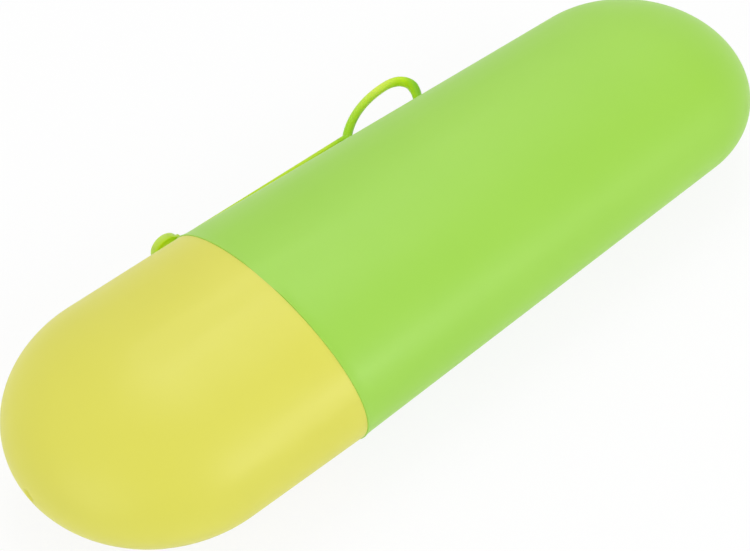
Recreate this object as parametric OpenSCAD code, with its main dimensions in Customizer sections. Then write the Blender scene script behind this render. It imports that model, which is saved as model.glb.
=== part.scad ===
// Travel case for one toothbrush: a round-ended box of oval section that parts across its width.
// The short lid carries a thin collar that slips inside the mouth of the long body.
// A soft moulded strap runs along one narrow side. It ties the lid to the body and makes a loop to hang
// the case by. The strap is one moulding on the real object; here its stretches are separate pieces,
// because they bend and stretch on their own when the case is opened.
// Sizes are in millimetres. The origin is the centre of the mouth, +X points to the closed end of the
// body, +Y to the strap and +Z up.

/* [Case] */
// Length over both round ends
total_len = 205; // [185:1:225]
// Length of the lid, from its tip to the mouth
lid_len = 62; // [52:1:75]
// Outer width at the mouth
case_w = 65; // [58:0.5:72]
// Outer height at the mouth
case_h = 37; // [32:0.5:42]
// Width at the mouth of the flat land on each broad side, which the case can lie on
rest_w = 7; // [5:0.5:12]
// Draft angle of the lid's sides
lid_draft = 0.3; // [0.1:0.1:1]
// Draft angle of the body's sides
body_draft = 1.5; // [0.5:0.1:2]

/* [Walls] */
// Wall of both shells
wall = 2.2; // [2:0.1:2.8]
// Outer half of the body's wall, which covers the collar
skirt_wall = 1.1; // [0.9:0.05:1.2]
// Length of the collar outside the lid
collar_len = 9; // [6:0.5:14]
// Depth left free past the end of the collar
collar_relief = 0.4; // [0.2:0.1:1]
// Clearance all round the collar
fit_gap = 0.1; // [0.05:0.01:0.2]
// Gap between the two mouth edges when the case is shut
seam_gap = 0.15; // [0.05:0.05:0.4]
// Rounding of the two mouth edges
lip_round = 0.5; // [0.2:0.1:0.8]
// Lead-in chamfer at the end of the collar
collar_lead = 0.4; // [0.2:0.1:0.6]

/* [Moulding marks] */
// Diameter of the shallow round dent at the tip of each shell
gate_d = 3.4; // [2:0.2:5]
// Depth of that dent
gate_depth = 0.5; // [0.2:0.1:0.8]

/* [Strap] */
// Height of the strap's centre line over the case's side at the mouth
strap_lift = 1.4; // [1.3:0.1:2.5]
// Width of the strap's tail
tail_w = 3.2; // [2.6:0.1:4.5]
// Thickness of the strap's tail
tail_t = 1.9; // [1.4:0.1:2.2]
// Gap between neighbouring stretches of the strap
flex_gap = 0.1; // [0.05:0.05:0.2]

/* [Loop] */
// Distance of the loop's front foot from the mouth
front_foot = 52.9; // [40:0.1:65]
// Thickness of the round loop
loop_d = 2.4; // [2:0.1:2.6]
// Diameter of the short barrel that each foot of the loop ends in
knuckle_d = 3; // [2.8:0.1:3.6]
// Length of that barrel
knuckle_len = 2.8; // [2.6:0.1:3.6]
// Height of the loop's centre line over the strap's centre line
loop_rise = 7.8; // [7:0.1:10]
// Radius of the long front slope of the loop
slope_r = 28; // [20:0.5:40]
// Radius of the crown of the loop
crown_r = 4.5; // [4:0.1:5.5]

/* [Plugs] */
// Diameter of the holes that the strap is plugged into
hole_d = 3.2; // [2.6:0.1:3.6]
// Clearance between a plug's stem and its hole, on the radius
stem_gap = 0.05; // [0.03:0.01:0.1]
// Diameter of the barb that holds a plug inside the shell
barb_d = 4.8; // [4.2:0.1:5.4]
// Length of that barb
barb_len = 2.4; // [1.6:0.1:3.2]
// Diameter of a barb's blunt tip
barb_tip_d = 2; // [1.4:0.1:2.4]
// Slack between a barb and the inside of the wall
barb_slack = 0.1; // [0.05:0.05:0.3]
// Diameter of the post under each foot of the loop
post_d = 4.2; // [3.8:0.1:5]
// Slack between the strap's pads and the case
pad_slack = 0.1; // [0.05:0.05:0.3]
// Length of the tail's stub on the front anchor
stub_len = 1.5; // [1:0.1:2.5]

/* [Button] */
// Distance of the plug in the lid behind the mouth
plug_back = 6.2; // [5:0.1:10]
// Distance of the round button's centre behind the mouth
button_back = 0.2; // [0:0.1:2]
// Diameter of the round button
button_d = 7.4; // [6.5:0.1:9]
// Thickness of the round button
button_t = 1.75; // [1.2:0.05:2.5]
// Rounding of the button's outer edge
button_round = 0.6; // [0.2:0.1:1]
// Depth by which the button's disc is sunk into the strap
button_sink = 0.35; // [0.2:0.05:0.8]
// Diameter of the button's cone-shaped foot at the underside of the neck
cone_d = 5.2; // [4.4:0.1:6]
// Width of the button's ledge round the cone
cone_ledge = 0.2; // [0.1:0.05:0.5]
// Width of the neck under the button
neck_w = 3.8; // [3.4:0.1:5]
// Reach of the neck past the mouth before it narrows
neck_reach = 4; // [3.5:0.1:6]
// Length over which the neck narrows to the tail
neck_taper = 3; // [1.5:0.1:5]
// Distance of the neck's other end behind the mouth
neck_back = 3.2; // [2.6:0.1:4]
// Width of the pad over the plug in the lid
pad_w = 4.4; // [4:0.1:5]

/* [Hidden] */
$fn = 96;
// How far a cutting shape reaches past what it cuts
over = 1;
lid_colour = "#dcd864";
body_colour = "#a6dc5e";
strap_colour = "#a8d800";

half_w = case_w / 2;
half_h = case_h / 2;
body_len = total_len - lid_len;
rest_h = half_h * sqrt(1 - pow(rest_w / case_w, 2));
collar_w = half_w - skirt_wall - fit_gap;
collar_h = half_h - skirt_wall - fit_gap;
strap_y = half_w + strap_lift;
stem_d = hole_d - 2 * stem_gap;

// The loop is a long arc and a crown arc in the plane z = 0. They meet at the top and end on the strap's line.
slope_angle = acos(1 - loop_rise / slope_r);
crown_x = front_foot + slope_r * sin(slope_angle);
crown_angle = acos(1 - loop_rise / crown_r);
crown_y = strap_y + loop_rise;
rear_foot = crown_x + crown_r * sin(crown_angle);
post_top = strap_y - knuckle_d / 2 - flex_gap;
stub_end = front_foot - knuckle_len / 2 - flex_gap;
tail_end = stub_end - stub_len;
neck_end = neck_reach + neck_taper;
button_y = strap_y + tail_t / 2 - button_sink;

// Radius of the round end that is tangent to a side of the given draft
function end_radius(half, run, draft) = (half * cos(draft) - run * sin(draft)) / (1 - sin(draft));
// Half width of the body and of its hollow at a distance from the mouth
function body_side(x) = half_w - x * tan(body_draft);
function body_hollow(x) = body_side(x) - wall;
function lid_hollow(x) = half_w - wall - x * tan(lid_draft);
// Height of the flat lands at a distance from the mouth; they fall away with the draft, as the oval does
function land_height(x, draft) = rest_h * (1 - x * tan(draft) / half_w);
// Where an oval wall lies at a height off its widest line; flat is height over width of the oval
function oval_y(half, flat, height) = half * sqrt(1 - pow(height / (half * flat), 2));
hollow_flat = (half_h - wall) / (half_w - wall);

// Half outline of a round-ended shell: radius across, distance from the mouth upwards.
// It can begin before the mouth, and its mouth edge can be rounded.
module end_outline(half, run, draft, before, edge) {
    radius = end_radius(half, run, draft);
    tangent = run - radius + radius * sin(draft);
    // the rounding touches the mouth plane and the drafted side
    edge_x = half - edge * tan(draft) - edge / cos(draft);
    difference() {
        union() {
            polygon([[0, -before], [half + before * tan(draft), -before],
                     [radius * cos(draft), tangent], [0, tangent]]);
            intersection() {
                translate([0, run - radius]) circle(r = radius);
                translate([0, tangent]) square([half, run]);
            }
        }
        if (edge > 0)
            difference() {
                translate([edge_x, -over]) square([edge + over, edge + over]);
                translate([edge_x, edge]) circle(r = edge);
                translate([edge_x - edge, edge]) square([2 * edge + over, edge + over]);
            }
    }
}

// Turns a half outline about the X axis and flattens it to the given height over width.
// It turns in four quarters, which meet on the oval's diagonals, so a flattened quarter has no closed face.
module oval_turned(flat) {
    scale([1, 1, flat])
        for (turn = [45:90:315])
            rotate([turn, 0, 0]) rotate([0, 90, 0]) rotate_extrude(angle = 90) children();
}

// Cuts the two flat lands: keeps what lies between them along a shell of the given length
module between_lands(run, draft) {
    near = land_height(-over, draft);
    far = land_height(run + over, draft);
    intersection() {
        children();
        rotate([90, 0, 0]) linear_extrude(case_w + 2 * over, center = true)
            polygon([[-over, -near], [run + over, -far], [run + over, far], [-over, near]]);
    }
}

// A shallow round dent in the tip of a shell, where the plastic entered the mould
module gate_dent(reach) {
    translate([reach - gate_depth, 0, 0]) rotate([0, 90, 0]) cylinder(d = gate_d, h = gate_depth + over);
}

// A hole across the strap's side of a wall
module plug_hole(x, inside) {
    translate([x, inside - over, 0]) rotate([-90, 0, 0])
        cylinder(d = hole_d, h = wall + 2 * over);
}

module lid_collar_outline() {
    polygon([[0, -lip_round], [collar_w, -lip_round], [collar_w, collar_len - collar_lead],
             [collar_w - collar_lead, collar_len], [0, collar_len]]);
}

module lid_shell() {
    color(lid_colour)
    difference() {
        union() {
            mirror([1, 0, 0]) between_lands(lid_len, lid_draft)
                translate([seam_gap, 0, 0]) oval_turned(half_h / half_w)
                    end_outline(half_w, lid_len - seam_gap, lid_draft, 0, lip_round);
            oval_turned(collar_h / collar_w) lid_collar_outline();
        }
        mirror([1, 0, 0]) oval_turned(hollow_flat)
            end_outline(half_w - wall, lid_len - wall, lid_draft, collar_len + over, 0);
        plug_hole(-plug_back, lid_hollow(plug_back));
        mirror([1, 0, 0]) gate_dent(lid_len);
    }
}

module body_shell() {
    color(body_colour)
    difference() {
        between_lands(body_len, body_draft)
            oval_turned(half_h / half_w) end_outline(half_w, body_len, body_draft, 0, lip_round);
        oval_turned(hollow_flat) end_outline(half_w - wall, body_len - wall, body_draft, over, 0);
        oval_turned((half_h - skirt_wall) / (half_w - skirt_wall))
            translate([0, -over]) square([half_w - skirt_wall, over + collar_len + collar_relief]);
        for (x = [front_foot, rear_foot]) plug_hole(x, body_hollow(x));
        gate_dent(body_len);
    }
}

// Stem and barb of a plug. The stem runs from the barb's shoulder up to the given top.
module plug(x, shoulder, top) {
    translate([x, shoulder, 0]) rotate([-90, 0, 0]) cylinder(d = stem_d, h = top - shoulder);
    translate([x, shoulder, 0]) rotate([90, 0, 0]) cylinder(d1 = barb_d, d2 = barb_tip_d, h = barb_len);
}

// A length of strap with rounded edges, centred on the strap's line
module band(from_x, to_x, width, thick) {
    flat = width - thick;
    translate([from_x, strap_y, 0]) rotate([90, 0, 90]) linear_extrude(to_x - from_x)
        union() {
            square([thick, flat], center = true);
            for (side = [-1, 1]) translate([0, side * flat / 2]) circle(d = thick);
        }
}

// The plug and post under one foot of the loop
module foot(x) {
    shoulder = oval_y(body_hollow(x + barb_d / 2), hollow_flat, barb_d / 2) - barb_slack;
    pad_y = body_side(x - post_d / 2) + pad_slack;
    plug(x, shoulder, post_top);
    translate([x, pad_y, 0]) rotate([-90, 0, 0]) cylinder(d = post_d, h = post_top - pad_y);
}

module front_anchor() {
    web_y = body_side(tail_end) + pad_slack;
    color(strap_colour)
    union() {
        foot(front_foot);
        // the stub that the tail is moulded onto, and the web that carries it on the post
        band(tail_end, stub_end, tail_w, tail_t);
        translate([tail_end, web_y, -(tail_w - tail_t) / 2])
            cube([stub_len, strap_y - web_y, tail_w - tail_t]);
    }
}

module rear_anchor() {
    color(strap_colour) foot(rear_foot);
}

// A barrel along the strap's line, on which a foot of the loop can turn
module knuckle(x) {
    translate([x - knuckle_len / 2, strap_y, 0]) rotate([0, 90, 0]) cylinder(d = knuckle_d, h = knuckle_len);
}

// An arc of round strap that starts at the loop's top and falls to the front
module loop_arc(radius, angle) {
    translate([0, crown_y - radius, 0]) rotate([0, 0, 90])
        rotate_extrude(angle = angle) translate([radius, 0]) circle(d = loop_d);
}

module strap_loop() {
    color(strap_colour)
    union() {
        translate([crown_x, 0, 0]) loop_arc(slope_r, slope_angle);
        translate([crown_x, 0, 0]) mirror([1, 0, 0]) loop_arc(crown_r, crown_angle);
        knuckle(front_foot);
        knuckle(rear_foot);
    }
}

module strap_tail() {
    color(strap_colour) band(neck_end, tail_end, tail_w, tail_t);
}

// Outline of the neck from above: broad under the button, narrowing to the tail
module neck_outline() {
    polygon([[-neck_back, -neck_w / 2], [neck_reach, -neck_w / 2], [neck_end - flex_gap, -tail_w / 2],
             [neck_end - flex_gap, tail_w / 2], [neck_reach, neck_w / 2], [-neck_back, neck_w / 2]]);
}

module button_disc() {
    radius = button_d / 2;
    translate([-button_back, button_y, 0]) rotate([-90, 0, 0]) rotate_extrude()
        union() {
            square([radius, button_t - button_round]);
            square([radius - button_round, button_t]);
            translate([radius - button_round, button_t - button_round]) circle(r = button_round);
        }
}

// The cone that carries the button's disc on the neck
module button_cone() {
    low = strap_y - tail_t / 2;
    translate([-button_back, low, 0]) rotate([-90, 0, 0])
        cylinder(d1 = cone_d, d2 = button_d - 2 * cone_ledge, h = button_y - low);
}

module strap_button() {
    pad_y = half_w + pad_slack;
    pad_t = strap_y - pad_y;
    shoulder = oval_y(lid_hollow(plug_back + barb_d / 2), hollow_flat, barb_d / 2) - barb_slack;
    color(strap_colour)
    union() {
        plug(-plug_back, shoulder, strap_y);
        translate([-plug_back, pad_y, 0]) rotate([-90, 0, 0]) cylinder(d = pad_w, h = pad_t);
        translate([-plug_back, pad_y, -pad_w / 2]) cube([plug_back, pad_t, pad_w]);
        translate([0, strap_y - tail_t / 2, 0]) rotate([-90, 0, 0]) linear_extrude(tail_t) neck_outline();
        button_cone();
        button_disc();
    }
}

lid_shell();
body_shell();
strap_loop();
strap_tail();
strap_button();
front_anchor();
rear_anchor();
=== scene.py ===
# %% [markdown]
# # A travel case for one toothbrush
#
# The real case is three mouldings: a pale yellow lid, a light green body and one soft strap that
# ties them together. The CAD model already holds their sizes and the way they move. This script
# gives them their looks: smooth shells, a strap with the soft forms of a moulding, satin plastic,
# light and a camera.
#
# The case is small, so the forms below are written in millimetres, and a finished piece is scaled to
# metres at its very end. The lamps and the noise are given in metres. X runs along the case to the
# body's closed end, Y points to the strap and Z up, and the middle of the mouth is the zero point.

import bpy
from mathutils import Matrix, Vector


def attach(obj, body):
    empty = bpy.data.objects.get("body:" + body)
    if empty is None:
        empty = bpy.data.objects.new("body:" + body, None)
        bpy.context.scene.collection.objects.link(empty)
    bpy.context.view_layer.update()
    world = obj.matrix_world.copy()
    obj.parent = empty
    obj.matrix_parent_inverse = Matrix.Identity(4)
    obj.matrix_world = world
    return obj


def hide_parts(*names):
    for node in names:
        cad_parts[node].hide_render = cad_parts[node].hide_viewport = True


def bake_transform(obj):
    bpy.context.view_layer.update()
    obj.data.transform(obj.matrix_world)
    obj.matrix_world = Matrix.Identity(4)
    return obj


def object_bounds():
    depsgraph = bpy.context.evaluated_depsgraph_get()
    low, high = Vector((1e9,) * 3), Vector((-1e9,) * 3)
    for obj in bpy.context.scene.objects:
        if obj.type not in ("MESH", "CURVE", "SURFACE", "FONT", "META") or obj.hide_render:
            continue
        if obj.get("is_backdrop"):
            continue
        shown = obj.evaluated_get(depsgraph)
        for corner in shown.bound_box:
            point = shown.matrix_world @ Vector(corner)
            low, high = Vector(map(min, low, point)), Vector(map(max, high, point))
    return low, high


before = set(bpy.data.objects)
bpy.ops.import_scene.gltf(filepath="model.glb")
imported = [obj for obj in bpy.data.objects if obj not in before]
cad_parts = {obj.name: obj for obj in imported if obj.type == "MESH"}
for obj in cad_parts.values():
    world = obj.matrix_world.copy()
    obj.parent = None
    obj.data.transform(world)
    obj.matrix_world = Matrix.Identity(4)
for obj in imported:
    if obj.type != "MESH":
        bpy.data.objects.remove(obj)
cad_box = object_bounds()
print("nodes:", sorted(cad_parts))

# %% Bring in Blender's tools
import math

import bmesh
import bpy
from mathutils import Matrix, Vector

MM = 0.001
print("one millimetre is", MM, "Blender units")

# %% [markdown]
# ## The sizes of the shells
#
# A shell is a straight, slightly tapering tube of oval section that ends in a round nose. Its
# outline seen from above is a drafted side and a circle that the side touches. Seen from the front
# it is the same outline, flattened. The numbers repeat those of the CAD source, which this script
# can't read.

# %% Sizes of lid and body
HALF_WIDE, HALF_HIGH = 32.5, 18.5
LID_LONG, BODY_LONG = 62.0, 143.0
LID_DRAFT, BODY_DRAFT = math.radians(0.3), math.radians(1.5)
WALL, SKIRT, FIT_GAP, SEAM_GAP = 2.2, 1.1, 0.1, 0.01
COLLAR_LONG, COLLAR_LEAD, COLLAR_RELIEF = 9.0, 0.4, 0.4
BODY_LIP, LID_LIP = 0.22, 0.05
FLARE, FLARE_LONG = 0.22, 2.6
REST_HIGH, REST_SOFT = 18.393, 0.02
DENT_R, DENT_DEEP = 1.7, 0.5
HOLLOW_TIP, NOSE_TIP = 1.0, 5.5
AROUND = 240


def nose_radius(half, run, draft):
    """Radius of the round nose that is tangent to a side of this draft."""
    return (half * math.cos(draft) - run * math.sin(draft)) / (1 - math.sin(draft))


print("nose radii: lid %.2f mm, body %.2f mm"
      % (nose_radius(HALF_WIDE, LID_LONG, LID_DRAFT), nose_radius(HALF_WIDE, BODY_LONG, BODY_DRAFT)))

# %% [markdown]
# ## Pulling a shell out of one ring
#
# A shell could be spun from its outline, but its inner and outer faces are flattened by different
# amounts, so that the wall stays equally thick all round. It is easier to start from one oval ring
# of vertices and to extrude that ring again and again, scaling and sliding each new copy to its
# place. One chain of rings runs from the bottom of the hollow, out through the mouth and along the
# outside to the nose, and the shell comes out closed.

# %% Helpers that start, pull and close a ring
def edges_of(verts):
    """The edges at these vertices, each once and in the same order every time the script runs."""
    return list(dict.fromkeys(e for v in verts for e in v.link_edges))


def start_ring(bm, x, wide, high):
    """One oval ring across the case; wide and high are its half axes."""
    made = bmesh.ops.create_circle(bm, cap_ends=False, segments=AROUND, radius=1.0)
    stand = Matrix.Rotation(math.pi / 2, 4, "Y")
    place = Matrix.Translation((x, 0, 0)) @ Matrix.Diagonal((1, wide, high, 1)) @ stand
    bmesh.ops.transform(bm, matrix=place, verts=made["verts"])
    return {"verts": made["verts"], "edges": edges_of(made["verts"]), "at": (x, wide, high)}


def pull_ring(bm, ring, x, wide, high):
    """Extrudes the ring and moves the copy to x with new half axes."""
    was_x, was_wide, was_high = ring["at"]
    made = bmesh.ops.extrude_edge_only(bm, edges=ring["edges"])["geom"]
    verts = [g for g in made if isinstance(g, bmesh.types.BMVert)]
    new = set(verts)
    edges = [g for g in made if isinstance(g, bmesh.types.BMEdge) and new.issuperset(g.verts)]
    bmesh.ops.scale(bm, vec=(1, wide / was_wide, high / was_high), verts=verts)
    bmesh.ops.translate(bm, vec=(x - was_x, 0, 0), verts=verts)
    return {"verts": verts, "edges": edges, "at": (x, wide, high)}


def close_ring(bm, ring, tip_x):
    """Fills the ring and lifts the middle of the fill to the tip."""
    cap = bmesh.ops.edgeloop_fill(bm, edges=ring["edges"])["faces"]
    centre = bmesh.ops.poke(bm, faces=cap)["verts"][0]
    centre.co = (tip_x, 0, 0)


def nose_stations(half, high, run, draft, steps, smallest):
    """Rings round a nose, from the tangent point to the tip, as (x, half width, half height)."""
    radius, flat = nose_radius(half, run, draft), high / half
    places = []
    for i in range(steps + 1):
        angle = draft + (math.pi / 2 - draft) * i / steps
        wide = radius * math.cos(angle)
        if wide > smallest:
            places.append((run - radius + radius * math.sin(angle), wide, wide * flat))
    return places


print("ring helpers ready,", AROUND, "vertices to a ring")

# %% [markdown]
# ## A flat to rest on
#
# The case would roll like a log if its broad sides were truly round. Each has a land, flat by a
# tenth of a millimetre and seven millimetres wide at the mouth, that nobody notices. Every vertex
# that stands higher than the land is pushed down to it. The push sets in softly, so that no crease
# shows in the sheen.

# %% Helper that flattens the broad sides
REST_REACH = 8


def press_lands(bm, draft):
    """Pushes what stands higher than the land down to it; the push fades out softly below it."""
    for v in bm.verts:
        land = REST_HIGH * (1 - abs(v.co.x) * math.tan(draft) / HALF_WIDE)
        over = (abs(v.co.z) - land) / REST_SOFT
        if over > -REST_REACH:
            lower = abs(v.co.z) - REST_SOFT * math.log1p(math.exp(over))
            v.co.z = math.copysign(lower, v.co.z)


print("lands at %.2f mm" % REST_HIGH)

# %% [markdown]
# ## The dent at the tip
#
# Hot plastic entered the mould at the tip of each shell, and left a shallow round dent there. The
# rings of the nose are ovals, so the last of them change step by step into a circle. Each keeps
# lying on the nose: its vertices slide along X to where the flattened sphere is. Then the circle is
# pulled inwards.

# %% Helpers for the dent
OVAL_TO_ROUND = (0.2, 0.4, 0.58, 0.74, 0.88, 1.0)
DENT_STEPS, DENT_NARROWING = 8, 0.05


def lay_on_nose(ring, half, high, run, draft, sink=0.0):
    """Slides the ring's vertices along X onto the nose, or part of the way to the dent's floor."""
    radius, flat = nose_radius(half, run, draft), high / half
    for v in ring["verts"]:
        bulge = 1 - (v.co.y / radius) ** 2 - (v.co.z / (radius * flat)) ** 2
        on_nose = run - radius + radius * math.sqrt(bulge)
        v.co.x = on_nose + sink * (run - DENT_DEEP - on_nose)


def finish_nose(bm, ring, half, high, run, draft):
    """Turns the oval rings into a round dent and closes it."""
    wide, tall = ring["at"][1:]
    for share in OVAL_TO_ROUND:
        ring = pull_ring(bm, ring, run, wide + (DENT_R - wide) * share, tall + (DENT_R - tall) * share)
        lay_on_nose(ring, half, high, run, draft)
    for step in range(1, DENT_STEPS + 1):
        radius = DENT_R * (1 - DENT_NARROWING * step)
        sink = (1 - math.cos(math.pi * step / DENT_STEPS)) / 2
        ring = pull_ring(bm, ring, run, radius, radius)
        lay_on_nose(ring, half, high, run, draft, sink)
    close_ring(bm, ring, run - DENT_DEEP)


print("dent: %.1f mm across, %.1f mm deep" % (2 * DENT_R, DENT_DEEP))

# %% [markdown]
# ## From a bmesh to a finished piece
#
# Everything that leaves the workbench gets the same treatment: normals that point outwards, smooth
# shading with hard lines only at real edges, and the step from millimetres to metres, which happens
# in the mesh so that the object itself stays unscaled at the zero point.

# %% Helper that finishes a piece
SHARP_EDGE, SHARP_CUT = math.radians(35), math.radians(60)


def make_piece(bm, name, sharp):
    """Writes the bmesh, in millimetres, to a new object in metres; sharp is the angle of a hard edge."""
    bmesh.ops.recalc_face_normals(bm, faces=bm.faces)
    bmesh.ops.scale(bm, vec=(MM, MM, MM), verts=bm.verts)
    for face in bm.faces:
        face.smooth = True
    for edge in bm.edges:
        if edge.is_manifold and edge.calc_face_angle(0) > sharp:
            edge.smooth = False
    mesh = bpy.data.meshes.new(name)
    bm.to_mesh(mesh)
    bm.free()
    piece = bpy.data.objects.new(name, mesh)
    bpy.context.scene.collection.objects.link(piece)
    print("%s: %d faces" % (name, len(mesh.polygons)))
    return piece


print("hard edges: over %.0f degrees on a shell, over %.0f on the strap"
      % (math.degrees(SHARP_EDGE), math.degrees(SHARP_CUT)))

# %% [markdown]
# ## The body
#
# The body is the long green shell. Its mouth is cut back on the inside for the lid's collar, which
# leaves a thin skirt outside. The collar spreads the skirt a little, so that the mouth stands a
# hair proud of the lid, and its outer edge is rounded. The chain of rings starts at the bottom of
# the hollow, comes forward to the step, runs through the skirt and round the edge, and goes back
# along the outside.

# %% Helpers for the mouth
LIP_STEPS, MOUTH_BREAK = 6, 0.15
MOUTH_RINGS = (0.4, 0.6, 0.9, 1.2, 1.5, 1.8, 2.1, 2.4, 2.7, 3.2, 4)


def lip_stations(x, wide, high, forward, radius):
    """Quarter circle round a mouth's edge, from its face to its side; forward is where the face looks."""
    places = []
    for i in range(LIP_STEPS + 1):
        angle = math.pi / 2 * i / LIP_STEPS
        inset = radius * (1 - math.sin(angle))
        places.append((x - forward * radius * (1 - math.cos(angle)), wide - inset, high - inset))
    return places


def body_side(x):
    """Half axes of the body's outside at x, with the flare of its mouth."""
    wide = HALF_WIDE - x * math.tan(BODY_DRAFT)
    flare = FLARE * max(0.0, 1 - x / FLARE_LONG) ** 2
    return x, wide + flare, wide * HALF_HIGH / HALF_WIDE + flare


print("mouth: flared by %.2f mm, edge rounded by %.2f mm" % (FLARE, BODY_LIP))

# %% Model the body
HOLLOW_STEPS, BODY_STEPS = 36, 56
HOLLOW_RINGS, BODY_RINGS = range(110, 10, -20), range(6, 112, 8)


def body_shell():
    """The body as one closed skin, from the bottom of its hollow round to its tip."""
    bm = bmesh.new()
    hollow = (HALF_WIDE - WALL, HALF_HIGH - WALL, BODY_LONG - WALL, BODY_DRAFT)
    flat = hollow[1] / hollow[0]
    inside = nose_stations(*hollow, steps=HOLLOW_STEPS, smallest=HOLLOW_TIP)[::-1]
    ring = start_ring(bm, *inside[0])
    close_ring(bm, ring, BODY_LONG - WALL)
    step_x = COLLAR_LONG + COLLAR_RELIEF
    skirt_wide, skirt_high = HALF_WIDE - SKIRT, HALF_HIGH - SKIRT
    side = [(x, hollow[0] - x * math.tan(BODY_DRAFT)) for x in (*HOLLOW_RINGS, step_x)]
    for place in (inside[1:] + [(x, wide, wide * flat) for x, wide in side]
                  + [(step_x, skirt_wide, skirt_high),
                     (MOUTH_BREAK, skirt_wide, skirt_high),
                     (0.0, skirt_wide + MOUTH_BREAK, skirt_high + MOUTH_BREAK)]
                  + lip_stations(0.0, HALF_WIDE + FLARE, HALF_HIGH + FLARE, -1, BODY_LIP)):
        ring = pull_ring(bm, ring, *place)
    outline = (HALF_WIDE, HALF_HIGH, BODY_LONG, BODY_DRAFT)
    for place in ([body_side(x) for x in (*MOUTH_RINGS, *BODY_RINGS)]
                  + nose_stations(*outline, steps=BODY_STEPS, smallest=NOSE_TIP)):
        ring = pull_ring(bm, ring, *place)
    finish_nose(bm, ring, *outline)
    press_lands(bm, BODY_DRAFT)
    return make_piece(bm, "body_shell_skin", SHARP_EDGE)


body_skin = body_shell()
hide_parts("body_shell")
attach(body_skin, "case_body")

# %% [markdown]
# ## The lid
#
# The lid is made the same way, with its nose towards -X. Its hollow runs out through the collar,
# the thin ring that slips inside the body's skirt and holds the two together by friction. Three
# rings open the hollow a little on the way to the collar's edge. The dent's helper works towards
# +X, so the lid is turned over for the dent and turned back afterwards.

# %% Model the lid
COLLAR_FOOT, COLLAR_EDGE = 0.1, 0.2
COLLAR_INSIDE = ((-15, -0.08, -0.04), (COLLAR_LONG - COLLAR_EDGE, 0.04, 0.02),
                 (COLLAR_LONG, COLLAR_EDGE, COLLAR_EDGE))
LID_STEPS, LID_RINGS = 60, (1, 5, 11, 17, 23)


def lid_shell():
    """The lid as one closed skin, from the bottom of its hollow round to its tip."""
    bm = bmesh.new()
    hollow = (HALF_WIDE - WALL, HALF_HIGH - WALL, LID_LONG - WALL, LID_DRAFT)
    inside = nose_stations(*hollow, steps=HOLLOW_STEPS, smallest=HOLLOW_TIP)[::-1]
    inside = [(-x, wide, high) for x, wide, high in inside]
    ring = start_ring(bm, *inside[0])
    close_ring(bm, ring, WALL - LID_LONG)
    collar_wide, collar_high = HALF_WIDE - SKIRT - FIT_GAP, HALF_HIGH - SKIRT - FIT_GAP
    for place in (inside[1:]
                  + [(x, hollow[0] + wider, hollow[1] + higher) for x, wider, higher in COLLAR_INSIDE]
                  + [(COLLAR_LONG, collar_wide - COLLAR_LEAD, collar_high - COLLAR_LEAD),
                     (COLLAR_LONG - COLLAR_LEAD, collar_wide, collar_high),
                     (COLLAR_FOOT - SEAM_GAP, collar_wide, collar_high),
                     (-SEAM_GAP, collar_wide + COLLAR_FOOT, collar_high + COLLAR_FOOT)]
                  + lip_stations(-SEAM_GAP, HALF_WIDE, HALF_HIGH, 1, LID_LIP)):
        ring = pull_ring(bm, ring, *place)
    outline = (HALF_WIDE, HALF_HIGH, LID_LONG, LID_DRAFT)
    side = [(x, HALF_WIDE - x * math.tan(LID_DRAFT)) for x in LID_RINGS]
    for x, wide, high in ([(x, wide, wide * HALF_HIGH / HALF_WIDE) for x, wide in side]
                          + nose_stations(*outline, steps=LID_STEPS, smallest=NOSE_TIP)):
        ring = pull_ring(bm, ring, -x, wide, high)
    bmesh.ops.scale(bm, vec=(-1, 1, 1), verts=bm.verts)
    ring["at"] = (LID_LONG,) + ring["at"][1:]
    finish_nose(bm, ring, *outline)
    bmesh.ops.scale(bm, vec=(-1, 1, 1), verts=bm.verts)
    press_lands(bm, LID_DRAFT)
    return make_piece(bm, "lid_shell_skin", SHARP_EDGE)


lid_skin = lid_shell()
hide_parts("lid_shell")
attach(lid_skin, "lid_body")

# %% [markdown]
# ## The strap
#
# The strap is one soft moulding, so all its forms run into each other with small fillets. Modelling
# those fillets by hand is slow. Here each form is made roughly where it belongs, all of them
# overlapping, and a voxel remesh then melts them into one skin. That skin is cut into three
# stretches: the button goes with the lid, and the tail and the loop stay where they are made.

# %% Sizes of the loop
STRAP_Y = HALF_WIDE + 1.4
FRONT_FOOT, REAR_FOOT, CROWN_X, LOOP_RISE = 52.48, 75.24, 72.3, 7.83
SLOPE_R, CROWN_R, REAR_R, LEG_R, HEEL_R = 28.15, 6.87, 3.51, 11.0, 2.6
SLOPE_ANGLE = math.asin((CROWN_X - FRONT_FOOT) / SLOPE_R)
CROWN_ANGLE, REAR_ANGLE, LEG_ANGLE = math.radians(24), math.radians(83), math.radians(18)
HEEL_ANGLE = CROWN_ANGLE + REAR_ANGLE + LEG_ANGLE - math.pi / 2
FOOT_THICK, SLOPE_THICK, TOP_THICK = 2.4, 2.18, 2.18
CROWN_THICK, REAR_THICK, LEG_THICK, HEEL_THICK = 2.38, 2.75, 2.4, 2.55
TUBE_AROUND, LEG_FLARE, LEG_SINK = 24, 1.1, 0.9
print("loop: feet %.1f mm apart, top %.1f mm above the strap" % (REAR_FOOT - FRONT_FOOT, LOOP_RISE))

# %% [markdown]
# ### The loop
#
# One circle of vertices is bent round pegs like wire: from the top down the long front slope, and
# from the top round the crown, which gets tighter towards the rear. The rear leg leans in a little,
# bends back at its heel and goes straight into the case. A spin would do the bending, but the real
# loop is thinnest on its slope and thickest behind the crown. So each step is a pull of its own,
# which turns the new ring about the peg and scales it about its own middle.

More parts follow.
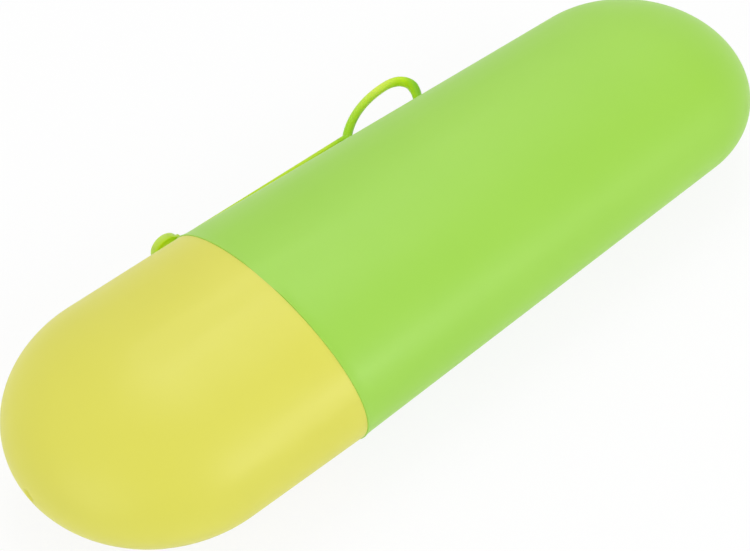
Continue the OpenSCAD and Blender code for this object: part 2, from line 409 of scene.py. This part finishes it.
# %% Bend the loop
def bend(bm, ring, peg, angle, steps, thick):
    """Pulls the ring round a peg; thick is the tube's thickness at the end of the bend."""
    grow = (thick / ring["thick"]) ** (1 / steps)
    turn = Matrix.Translation(peg) @ Matrix.Rotation(angle / steps, 4, "Z") @ Matrix.Translation(-peg)
    for _ in range(steps):
        ring = pull_tube(bm, ring, turn, grow)
    return ring


def pull_tube(bm, ring, move, grow):
    """Extrudes the ring, moves the copy and scales it about its middle."""
    made = bmesh.ops.extrude_edge_only(bm, edges=ring["edges"])["geom"]
    verts = [g for g in made if isinstance(g, bmesh.types.BMVert)]
    new = set(verts)
    edges = [g for g in made if isinstance(g, bmesh.types.BMEdge) and new.issuperset(g.verts)]
    middle = move @ ring["middle"]
    swell = Matrix.Translation(middle) @ Matrix.Scale(grow, 4) @ Matrix.Translation(-middle)
    bmesh.ops.transform(bm, matrix=swell @ move, verts=verts)
    return {"edges": edges, "middle": middle, "thick": ring["thick"] * grow}


def wall_outside(x):
    """How far out the body's narrow side is at x."""
    return HALF_WIDE - x * math.tan(BODY_DRAFT)


def loop_form(bm):
    """The whole loop, made from its top in both directions."""
    made = bmesh.ops.create_circle(bm, cap_ends=False, segments=TUBE_AROUND, radius=TOP_THICK / 2)
    top = Vector((CROWN_X, STRAP_Y + LOOP_RISE, 0))
    stand = Matrix.Translation(top) @ Matrix.Rotation(math.pi / 2, 4, "Y")
    bmesh.ops.transform(bm, matrix=stand, verts=made["verts"])
    ring = {"edges": edges_of(made["verts"]), "middle": top, "thick": TOP_THICK}
    slope_peg = top - Vector((0, SLOPE_R, 0))
    slope = bend(bm, ring, slope_peg, SLOPE_ANGLE / 2, steps=30, thick=SLOPE_THICK)
    front = bend(bm, slope, slope_peg, SLOPE_ANGLE / 2, steps=30, thick=FOOT_THICK)
    crown_peg = top - Vector((0, CROWN_R, 0))
    crown = bend(bm, ring, crown_peg, -CROWN_ANGLE, steps=10, thick=CROWN_THICK)
    rear_peg = crown["middle"] + (crown_peg - crown["middle"]) * REAR_R / CROWN_R
    rear = bend(bm, crown, rear_peg, -REAR_ANGLE, steps=28, thick=REAR_THICK)
    leg_peg = rear["middle"] + (rear_peg - rear["middle"]) * LEG_R / REAR_R
    leg = bend(bm, rear, leg_peg, -LEG_ANGLE, steps=8, thick=LEG_THICK)
    heel_peg = leg["middle"] + (leg["middle"] - leg_peg) * HEEL_R / LEG_R
    rear = bend(bm, leg, heel_peg, HEEL_ANGLE, steps=12, thick=HEEL_THICK)
    print("heel of the loop at x = %.2f mm" % rear["middle"].x)
    into_wall = Vector((0, wall_outside(REAR_FOOT) - LEG_SINK - rear["middle"].y, 0))
    rear = pull_tube(bm, rear, Matrix.Translation(into_wall), LEG_FLARE)
    for end in (front, rear):
        bmesh.ops.edgeloop_fill(bm, edges=end["edges"])


print("helpers for the loop: bend, pull_tube, wall_outside, loop_form")

# %% [markdown]
# ### Plugs, tail and button
#
# Under each foot of the loop a stem goes through the shell's wall to a barb. The tail is a flat bar
# with rounded edges that comes out from under the button over a low step and a ramp. The button is
# a thick disc on a cone, and behind it sits the pad over the lid's plug. Bars are cubes with
# bevelled edges, and the round forms are cones with bevelled rims.

# %% Sizes of the tail, the button and the plugs
TAIL_WIDE, TAIL_THICK, TAIL_RIM = 3.2, 1.9, 0.92
BUTTON_BACK, BUTTON_R, BUTTON_RIM = 0.3, 3.72, 0.75
BUTTON_LOW, BUTTON_HIGH = STRAP_Y + 0.1, STRAP_Y + 2.43
CONE_LOW, CONE_LOW_R, CONE_HIGH_R, CONE_OVERLAP = HALF_WIDE + 0.5, 2.7, 3.65, 0.4
STEP_START, STEP_END, STEP_WIDE, STEP_RIM, STEP_HIGH = 0.5, 3.7, 3.4, 0.5, STRAP_Y + 1.9
RAMP_START, RAMP_END, RAMP_WIDE, RAMP_LOWER, RAMP_TOE = 3.4, 5.0, 2.6, 0.25, 0.2
PLUG_BACK, PAD_END, PAD_WIDE, PAD_THICK = 6.2, 1.0, 4.4, 1.35
PAD_LOW, PAD_R, PAD_RIM = HALF_WIDE + 0.1, 2.2, 0.3
STEM_R, STEM_SINK = 1.55, 0.4
BARB_R, BARB_TIP_R, BARB_LONG, BARB_RIM = 2.4, 1.0, 2.4, 0.25
WALL_GAP, BARB_GAP = 0.27, 0.1
TINY = 1e-4
print("button: %.1f mm across, its plug %.1f mm in front of the mouth" % (2 * BUTTON_R, PLUG_BACK))

# %% Helpers for round forms and bars
FORM_AROUND, BEVEL_STEPS = 40, 6


def round_edges(bm, edges, radius):
    """Bevels the edges to a quarter circle."""
    bmesh.ops.bevel(bm, geom=edges, offset=radius, segments=BEVEL_STEPS, profile=0.5,
                    affect="EDGES", material=-1)


def round_form(bm, x, low, high, low_r, high_r, rim=0.0):
    """A cylinder or cone across the case from y = low to y = high; rim rounds its outer edge."""
    made = bmesh.ops.create_cone(bm, cap_ends=True, segments=FORM_AROUND, radius1=low_r, radius2=high_r,
                                 depth=high - low)
    stand = Matrix.Translation((x, (low + high) / 2, 0)) @ Matrix.Rotation(-math.pi / 2, 4, "X")
    bmesh.ops.transform(bm, matrix=stand, verts=made["verts"])
    if rim:
        edges = [e for e in edges_of(made["verts"])
                 if all(abs(v.co.y - high) < TINY for v in e.verts)]
        round_edges(bm, edges, rim)


def bar(bm, x0, x1, wide, thick, middle_y, rim):
    """A bar along the case with rounded long edges."""
    made = bmesh.ops.create_cube(bm, size=1.0)
    size = Matrix.Diagonal((x1 - x0, thick, wide, 1))
    place = Matrix.Translation(((x0 + x1) / 2, middle_y, 0)) @ size
    bmesh.ops.transform(bm, matrix=place, verts=made["verts"])
    long_edges = [e for e in edges_of(made["verts"])
                  if abs(e.verts[0].co.x - e.verts[1].co.x) > TINY]
    round_edges(bm, long_edges, rim)


def ramp(bm, x0, x1, wide, low, high):
    """A wedge along the case that falls from high at x0 nearly to low at x1."""
    made = bmesh.ops.create_cube(bm, size=1.0)
    size = Matrix.Diagonal((x1 - x0, high - low, wide, 1))
    place = Matrix.Translation(((x0 + x1) / 2, (low + high) / 2, 0)) @ size
    bmesh.ops.transform(bm, matrix=place, verts=made["verts"])
    toe = [v for v in made["verts"] if v.co.x > x0 + TINY and v.co.y > low + TINY]
    bmesh.ops.translate(bm, vec=(0, low - high + RAMP_TOE, 0), verts=toe)


def plug_form(bm, x, top, wall_in):
    """Stem and barb of a plug; wall_in is just inside the wall."""
    barb_top = wall_in - BARB_GAP
    round_form(bm, x, barb_top, top, STEM_R, STEM_R)
    round_form(bm, x, barb_top - BARB_LONG, barb_top, BARB_TIP_R, BARB_R, rim=BARB_RIM)


print("forms: round_edges, round_form, bar, ramp, plug_form")

# %% Put the strap's rough forms together
def strap_forms():
    """All forms of the strap in their places, overlapping but not yet joined."""
    bm = bmesh.new()
    loop_form(bm)
    bar(bm, -BUTTON_BACK, FRONT_FOOT, TAIL_WIDE, TAIL_THICK, STRAP_Y, TAIL_RIM)
    bar(bm, STEP_START, STEP_END, STEP_WIDE, STEP_HIGH - STRAP_Y, (STEP_HIGH + STRAP_Y) / 2, STEP_RIM)
    ramp(bm, RAMP_START, RAMP_END, RAMP_WIDE, STRAP_Y, STEP_HIGH - RAMP_LOWER)
    bar(bm, -PLUG_BACK, PAD_END, PAD_WIDE, PAD_THICK, PAD_LOW + PAD_THICK / 2, PAD_RIM)
    round_form(bm, -PLUG_BACK, PAD_LOW, STRAP_Y, PAD_R, PAD_R, rim=PAD_RIM)
    round_form(bm, -BUTTON_BACK, CONE_LOW, BUTTON_LOW + CONE_OVERLAP, CONE_LOW_R, CONE_HIGH_R)
    round_form(bm, -BUTTON_BACK, BUTTON_LOW, BUTTON_HIGH, BUTTON_R, BUTTON_R, rim=BUTTON_RIM)
    plug_form(bm, -PLUG_BACK, STRAP_Y, HALF_WIDE - WALL - WALL_GAP)
    for x, top in ((FRONT_FOOT, STRAP_Y), (REAR_FOOT, wall_outside(REAR_FOOT) - STEM_SINK)):
        plug_form(bm, x, top, wall_outside(x + BARB_R) - WALL - WALL_GAP)
    bmesh.ops.recalc_face_normals(bm, faces=bm.faces)
    return bm


rough = bpy.data.meshes.new("strap_rough")
forms = strap_forms()
forms.to_mesh(rough)
forms.free()
print("rough strap:", len(rough.polygons), "faces")

# %% [markdown]
# ### Melting the forms into one skin
#
# The Remesh modifier in voxel mode keeps only the outer surface of the overlapping forms. A few
# rounds of vertex smoothing then turn the sharp valleys between them into fillets.

# %% Remesh and smooth the strap
VOXEL, SMOOTH_ROUNDS = 0.14, 9
workpiece = bpy.data.objects.new("strap_rough", rough)
bpy.context.scene.collection.objects.link(workpiece)
melt = workpiece.modifiers.new("melt", "REMESH")
melt.mode = "VOXEL"
melt.voxel_size = VOXEL
melt.use_smooth_shade = True
bpy.context.view_layer.update()
depsgraph = bpy.context.evaluated_depsgraph_get()
molten = bpy.data.meshes.new_from_object(workpiece.evaluated_get(depsgraph))
bpy.data.objects.remove(workpiece)

strap = bmesh.new()
strap.from_mesh(molten)
bpy.data.meshes.remove(molten)
for _ in range(SMOOTH_ROUNDS):
    bmesh.ops.smooth_vert(strap, verts=strap.verts, factor=0.5,
                          use_axis_x=True, use_axis_y=True, use_axis_z=True)
print("molten strap:", len(strap.faces), "faces")

# %% Cut the skin into its three stretches
LID_CUT, LOOP_CUT = 5.5, 50.4


def stretch(whole, name, low, high):
    """The skin between two planes across the case, with its cut ends closed."""
    bm = whole.copy()
    for x, side in ((low, -1), (high, 1)):
        if x is None:
            continue
        bmesh.ops.bisect_plane(bm, geom=bm.verts[:] + bm.edges[:] + bm.faces[:], plane_co=(x, 0, 0),
                               plane_no=(side, 0, 0), clear_outer=True)
        rim = [e for e in bm.edges if e.is_boundary]
        bmesh.ops.holes_fill(bm, edges=rim, sides=0)
    return make_piece(bm, name, SHARP_CUT)


button_skin = stretch(strap, "strap_button_skin", None, LID_CUT)
tail_skin = stretch(strap, "strap_tail_skin", LID_CUT, LOOP_CUT)
loop_skin = stretch(strap, "strap_loop_skin", LOOP_CUT, None)
strap.free()

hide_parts("strap_button")
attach(button_skin, "lid_body")
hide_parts("strap_tail")
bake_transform(tail_skin)
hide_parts("strap_loop", "front_anchor", "rear_anchor")
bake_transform(loop_skin)

# %% [markdown]
# ## Satin plastic
#
# The shells are moulded polypropylene: a little translucent, with a soft sheen from a finely etched
# mould. The colour hardly changes over the surface. What tells it from paint is a very fine grain,
# a sheen that varies in slow clouds, and faint streaks along the way the plastic flowed. All three
# come from noise on the object's own coordinates, so they stay put when a piece moves.

# %% Helpers for materials
def nodes_of(name):
    """A new material with its node tree, shader and object coordinates."""
    material = bpy.data.materials.new(name)
    material.use_nodes = True
    tree = material.node_tree
    shader = tree.nodes["Principled BSDF"]
    coordinates = tree.nodes.new("ShaderNodeTexCoord")
    return material, tree, shader, coordinates.outputs["Object"]


def noise(tree, place, stretch_by, scale, detail):
    """Noise on object coordinates; stretch_by squeezes or stretches it along the axes."""
    mapping = tree.nodes.new("ShaderNodeMapping")
    mapping.inputs["Scale"].default_value = stretch_by
    tree.links.new(place, mapping.inputs["Vector"])
    texture = tree.nodes.new("ShaderNodeTexNoise")
    texture.inputs["Scale"].default_value = scale
    texture.inputs["Detail"].default_value = detail
    tree.links.new(mapping.outputs["Vector"], texture.inputs["Vector"])
    return texture.outputs["Fac"]


def spread(tree, value, low, high):
    """Maps the middle of a noise to the range from low to high."""
    node = tree.nodes.new("ShaderNodeMapRange")
    node.inputs["From Min"].default_value = 0.3
    node.inputs["From Max"].default_value = 0.7
    node.inputs["To Min"].default_value = low
    node.inputs["To Max"].default_value = high
    tree.links.new(value, node.inputs["Value"])
    return node.outputs["Result"]


def mix_colours(tree, factor, first, second):
    """Mixes two colours by a factor that varies over the surface."""
    node = tree.nodes.new("ShaderNodeMix")
    node.data_type = "RGBA"
    node.inputs["A"].default_value = (*first, 1)
    node.inputs["B"].default_value = (*second, 1)
    tree.links.new(factor, node.inputs["Factor"])
    return node.outputs["Result"]


def linear(red, green, blue):
    """Turns a screen colour, 0 to 255, into the light values that a shader takes."""
    return tuple((c / 255 / 12.92) if c / 255 <= 0.04045 else ((c / 255 + 0.055) / 1.055) ** 2.4
                 for c in (red, green, blue))


def add_bump(tree, shader, height, strength, distance):
    """Lets a fine noise tilt the surface's normal."""
    bump = tree.nodes.new("ShaderNodeBump")
    bump.inputs["Strength"].default_value = strength
    bump.inputs["Distance"].default_value = distance
    tree.links.new(height, bump.inputs["Height"])
    tree.links.new(bump.outputs["Normal"], shader.inputs["Normal"])


print("yellow as light:", [round(c, 3) for c in linear(222, 218, 92)])

# %% Mix the satin plastic
def satin_plastic(name, pale, deep):
    """A shell's finish, which wanders between a pale and a deep colour."""
    material, tree, shader, place = nodes_of(name)
    clouds = noise(tree, place, (1, 1, 1), scale=28.0, detail=2.0)
    streaks = noise(tree, place, (0.12, 1, 1), scale=260.0, detail=4.0)
    grain = noise(tree, place, (1, 1, 1), scale=4200.0, detail=2.0)
    colour = mix_colours(tree, spread(tree, clouds, 0.0, 1.0), deep, pale)
    tree.links.new(colour, shader.inputs["Base Color"])
    tree.links.new(spread(tree, streaks, 0.40, 0.46), shader.inputs["Roughness"])
    add_bump(tree, shader, grain, strength=0.2, distance=0.000012)
    shader.inputs["IOR"].default_value = 1.49
    shader.inputs["Subsurface Weight"].default_value = 0.18
    shader.inputs["Subsurface Radius"].default_value = (1.0, 1.0, 0.5)
    shader.inputs["Subsurface Scale"].default_value = 0.0015
    return material


body_finish = satin_plastic("satin green", linear(160, 213, 75), linear(157, 211, 71))
lid_finish = satin_plastic("satin yellow", linear(221, 218, 88), linear(218, 215, 82))
body_skin.data.materials.append(body_finish)
lid_skin.data.materials.append(lid_finish)
print("finishes:", body_finish.name, "and", lid_finish.name)

# %% [markdown]
# ## Soft elastomer
#
# The strap is a brighter, more saturated green. It is softer and lets more light in, so its shaded
# side glows. Its colour also carries painted light. The tail, the loop's slope and, most of all,
# the rim of the button are painted paler as painted sheen, the crown is painted lighter against
# its shade, and the front foot and the rear leg of the loop are painted a deeper green as painted
# shade. All of it follows from the place on the strap. A colour ramp runs along its length, on a
# line that leans so that the crown and the leg below it get a place each, and a map range of the
# height picks out the button.

# %% Mix the soft elastomer
LEAN = 0.6
COLOURS_START, COLOURS_END = 47 - LEAN * STRAP_Y, 75.7 - LEAN * STRAP_Y
# The stops place painted sheen and painted shade along the strap.
SHEEN_AND_SHADE_STOPS = (0.2, 0.6, 0.7, 0.9)
# These fades place the painted sheen on the rim of the button.
RIM_SHEEN_X, RIM_SHEEN_Y = (8, 5), (STRAP_Y, STRAP_Y + 1.5)


def share_between(tree, value, nothing, full, smooth=True):
    """0 where the coordinate, in millimetres, is at nothing and 1 where it is at full."""
    node = tree.nodes.new("ShaderNodeMapRange")
    node.interpolation_type = "SMOOTHSTEP" if smooth else "LINEAR"
    node.inputs["From Min"].default_value = nothing * MM
    node.inputs["From Max"].default_value = full * MM
    tree.links.new(value, node.inputs["Value"])
    return node.outputs["Result"]


def soft_elastomer(name, tail, foot, slope, crown, leg, rim):
    """The strap's colour with painted sheen and painted shade; the colours are those of its places from
    the tail to the rear leg.
    """
    material, tree, shader, place = nodes_of(name)
    clouds = noise(tree, place, (1, 1, 1), scale=90.0, detail=2.0)
    grain = noise(tree, place, (1, 1, 1), scale=3600.0, detail=3.0)
    axes = tree.nodes.new("ShaderNodeSeparateXYZ")
    tree.links.new(place, axes.inputs["Vector"])
    # The ramp paints sheen and shade along the strap.
    length = tree.nodes.new("ShaderNodeValToRGB")
    stops = length.color_ramp.elements
    stops[0].position, stops[0].color = 0.0, (*tail, 1)
    stops[1].position, stops[1].color = 1.0, (*leg, 1)
    for position, colour in zip(SHEEN_AND_SHADE_STOPS, (foot, slope, slope, crown)):
        stops.new(position).color = (*colour, 1)
    along = tree.nodes.new("ShaderNodeVectorMath")
    along.operation = "DOT_PRODUCT"
    along.inputs[1].default_value = (1, -LEAN, 0)
    tree.links.new(place, along.inputs[0])
    share = share_between(tree, along.outputs["Value"], COLOURS_START, COLOURS_END, smooth=False)
    tree.links.new(share, length.inputs["Fac"])
    # This mask paints sheen on the rim of the button.
    button_rim_sheen = tree.nodes.new("ShaderNodeMath")
    button_rim_sheen.operation = "MULTIPLY"
    tree.links.new(share_between(tree, axes.outputs["X"], *RIM_SHEEN_X), button_rim_sheen.inputs[0])
    tree.links.new(share_between(tree, axes.outputs["Y"], *RIM_SHEEN_Y), button_rim_sheen.inputs[1])
    colour = tree.nodes.new("ShaderNodeMix")
    colour.data_type = "RGBA"
    colour.inputs["B"].default_value = (*rim, 1)
    tree.links.new(button_rim_sheen.outputs["Value"], colour.inputs["Factor"])
    tree.links.new(length.outputs["Color"], colour.inputs["A"])
    uneven = tree.nodes.new("ShaderNodeHueSaturation")
    tree.links.new(spread(tree, clouds, 0.97, 1.0), uneven.inputs["Value"])
    tree.links.new(colour.outputs["Result"], uneven.inputs["Color"])
    tree.links.new(uneven.outputs["Color"], shader.inputs["Base Color"])
    tree.links.new(spread(tree, clouds, 0.34, 0.40), shader.inputs["Roughness"])
    add_bump(tree, shader, grain, strength=0.3, distance=0.00001)
    shader.inputs["IOR"].default_value = 1.47
    shader.inputs["Specular IOR Level"].default_value = 0.25
    shader.inputs["Subsurface Weight"].default_value = 0.5
    shader.inputs["Subsurface Radius"].default_value = (1.0, 1.0, 0.1)
    shader.inputs["Subsurface Scale"].default_value = 0.0014
    return material


# Paler colours are painted sheen, the crown is painted lighter, and foot and leg are painted shade.
strap_finish_and_painted_light = soft_elastomer("soft green with painted sheen and shade", tail=linear(190, 225, 30), foot=linear(155, 213, 0),
                              slope=linear(210, 234, 80), crown=linear(190, 229, 0),
                              leg=linear(136, 199, 0), rim=linear(194, 224, 92))
for piece in (button_skin, tail_skin, loop_skin):
    piece.data.materials.append(strap_finish_and_painted_light)
print("finish:", strap_finish_and_painted_light.name)

# %% [markdown]
# ## The floor
#
# The photograph was taken on white, in very even light. The floor is a plain white sheet just under
# the case. Where the camera or a reflection sees it, it is mostly replaced by plain white, so that
# it looks as bright as in the photograph without more light on the object. A small share stays real
# and carries the case's shadow.

# %% Helper for what the camera sees
def seen_share(tree, lit, plain, share, rays=("Is Camera Ray",)):
    """Mixes in plain white for the named rays only, and leaves the light on the object as it is."""
    path = tree.nodes.new("ShaderNodeLightPath")
    amount = path.outputs[rays[0]]
    for name in rays[1:]:
        either = tree.nodes.new("ShaderNodeMath")
        either.operation = "MAXIMUM"
        tree.links.new(amount, either.inputs[0])
        tree.links.new(path.outputs[name], either.inputs[1])
        amount = either.outputs["Value"]
    part = tree.nodes.new("ShaderNodeMath")
    part.operation = "MULTIPLY"
    part.inputs[1].default_value = share
    tree.links.new(amount, part.inputs[0])
    mix = tree.nodes.new("ShaderNodeMixShader")
    tree.links.new(part.outputs["Value"], mix.inputs["Fac"])
    tree.links.new(lit, mix.inputs[1])
    tree.links.new(plain, mix.inputs[2])
    return mix.outputs["Shader"]


print("helper: seen_share")

# %% Lay the floor
FLOOR_HALF, FLOOR_GAP, FLOOR_WHITE = 3.0, 0.1, 0.88
floor_bm = bmesh.new()
bmesh.ops.create_grid(floor_bm, x_segments=1, y_segments=1, size=FLOOR_HALF)
floor_mesh = bpy.data.meshes.new("floor")
floor_bm.to_mesh(floor_mesh)
floor_bm.free()
floor = bpy.data.objects.new("floor", floor_mesh)
floor.location = (0, 0, -(HALF_HIGH + FLOOR_GAP) * MM)
bpy.context.scene.collection.objects.link(floor)
floor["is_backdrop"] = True

floor_paint = bpy.data.materials.new("white floor")
floor_paint.use_nodes = True
tree = floor_paint.node_tree
paint = tree.nodes["Principled BSDF"]
paint.inputs["Base Color"].default_value = (0.92, 0.92, 0.92, 1)
paint.inputs["Roughness"].default_value = 0.9
white = tree.nodes.new("ShaderNodeEmission")
white.inputs["Strength"].default_value = 1.0
seen_floor = seen_share(tree, paint.outputs["BSDF"], white.outputs["Emission"], FLOOR_WHITE,
                        rays=("Is Camera Ray", "Is Glossy Ray"))
tree.links.new(seen_floor, tree.nodes["Material Output"].inputs["Surface"])
floor_mesh.materials.append(floor_paint)
print("floor at z = %.2f mm" % (floor.location.z / MM))

# %% [markdown]
# ## The room
#
# A white world gives the even light and the pale rims that the plastic shows where it is seen at a
# flat angle. One patch of it is darker, like a grey card, because the sheen fades towards the
# body's closed end.

# %% Light the room
ROOM_LIGHT, CARD_LIGHT = 0.745, 0.2
CARD_TOWARDS, CARD_EDGE, CARD_CORE = (0.78, -0.15, 0.61), math.radians(26), math.radians(14)
world = bpy.data.worlds.new("white room")
bpy.context.scene.world = world
world.use_nodes = True
tree = world.node_tree
room = tree.nodes["Background"]
room.inputs["Color"].default_value = (1, 1, 1, 1)
seen = tree.nodes.new("ShaderNodeBackground")
seen.inputs["Color"].default_value = (1, 1, 1, 1)
seen.inputs["Strength"].default_value = 1.0
seen_room = seen_share(tree, room.outputs["Background"], seen.outputs["Background"], 1.0)
tree.links.new(seen_room, tree.nodes["World Output"].inputs["Surface"])

look = tree.nodes.new("ShaderNodeTexCoord")
towards_card = tree.nodes.new("ShaderNodeVectorMath")
towards_card.operation = "DOT_PRODUCT"
towards_card.inputs[1].default_value = Vector(CARD_TOWARDS).normalized()
tree.links.new(look.outputs["Generated"], towards_card.inputs[0])
card = tree.nodes.new("ShaderNodeMapRange")
card.interpolation_type = "SMOOTHSTEP"
card.inputs["From Min"].default_value = math.cos(CARD_EDGE)
card.inputs["From Max"].default_value = math.cos(CARD_CORE)
card.inputs["To Min"].default_value = ROOM_LIGHT
card.inputs["To Max"].default_value = CARD_LIGHT
tree.links.new(towards_card.outputs["Value"], card.inputs["Value"])
tree.links.new(card.outputs["Result"], room.inputs["Strength"])
print("room light %.3f, behind the card %.1f" % (ROOM_LIGHT, CARD_LIGHT))

# %% [markdown]
# ## The lamps
#
# Two large soft lamps, one overhead and one on the camera's side, give the two broad bands of
# sheen. A larger and weaker one lights the lid's nose, and a small one behind the case adds a
# faint real sheen to the loop; the loop's broad pale sheen is painted into the strap's colour.

# %% Hang the lamps
LAMP_AWAY, LIT_PLACE = 0.9, Vector((0.04, 0, 0))


def soft_lamp(name, towards, size, power):
    """A lamp of the given size that looks at the middle of the case from a direction."""
    lamp = bpy.data.lights.new(name, "AREA")
    lamp.shape = "RECTANGLE"
    lamp.size, lamp.size_y = size
    lamp.energy = power
    holder = bpy.data.objects.new(name, lamp)
    direction = Vector(towards).normalized()
    across = direction.cross((0, 1, 0)).normalized()
    axes = Matrix((-across, direction.cross(-across), direction)).transposed()
    holder.matrix_world = Matrix.Translation(LIT_PLACE + direction * LAMP_AWAY) @ axes.to_4x4()
    bpy.context.scene.collection.objects.link(holder)
    print("lamp %s at" % name, [round(c, 2) for c in holder.location])


soft_lamp("overhead", (0.24, 0.30, 0.90), size=(0.3, 0.5), power=1.6)
soft_lamp("camera side", (0.28, -0.78, 0.52), size=(0.3, 0.38), power=1.85)
soft_lamp("nose side", (-0.93, -0.15, 0.38), size=(0.6, 0.6), power=1.2)
soft_lamp("behind", (0.45, 0.61, 0.66), size=(0.15, 0.15), power=0.21)

# %% [markdown]
# ## The camera
#
# The camera was found by fitting the outline of the two shells and their seam to the photograph. It
# aims at a point in the middle plane of the case, from a distance and from two angles, and it is
# rolled by less than one degree. Its focal length is given in pixels of the photograph and turned
# into millimetres for a 36 mm sensor.

# %% Set up the camera
PHOTO_WIDE, FOCAL_PX, SENSOR = 750, 1845.8, 36.0
AIM, AWAY = Vector((28.84, -2.72, 0)), 408.22
HEADING, FALL, ROLL = math.radians(48.48), math.radians(48.0), math.radians(-0.70)

camera_data = bpy.data.cameras.new("photo camera")
camera_data.sensor_fit = "HORIZONTAL"
camera_data.sensor_width = SENSOR
camera_data.lens = SENSOR * FOCAL_PX / PHOTO_WIDE
camera_data.clip_start = 0.01
camera = bpy.data.objects.new("photo camera", camera_data)
camera_turn = (Matrix.Rotation(HEADING - math.pi / 2, 4, "Z")
               @ Matrix.Rotation(math.pi / 2 - FALL, 4, "X")
               @ Matrix.Rotation(ROLL, 4, "Z"))
back_off = Matrix.Translation((0, 0, AWAY * MM))
camera.matrix_world = Matrix.Translation(AIM * MM) @ camera_turn @ back_off
bpy.context.scene.collection.objects.link(camera)
bpy.context.scene.camera = camera
bpy.context.scene.view_settings.view_transform = "Standard"
print("focal length %.1f mm, camera at" % camera_data.lens,
      [round(c, 3) for c in camera.matrix_world.translation])

# %% Compare the sizes and finish
dressed_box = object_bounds()
for corner, cad, dressed in zip(("lowest", "highest"), cad_box, dressed_box):
    print(corner, "CAD", [round(c / MM, 2) for c in cad],
          "dressed", [round(c / MM, 2) for c in dressed])
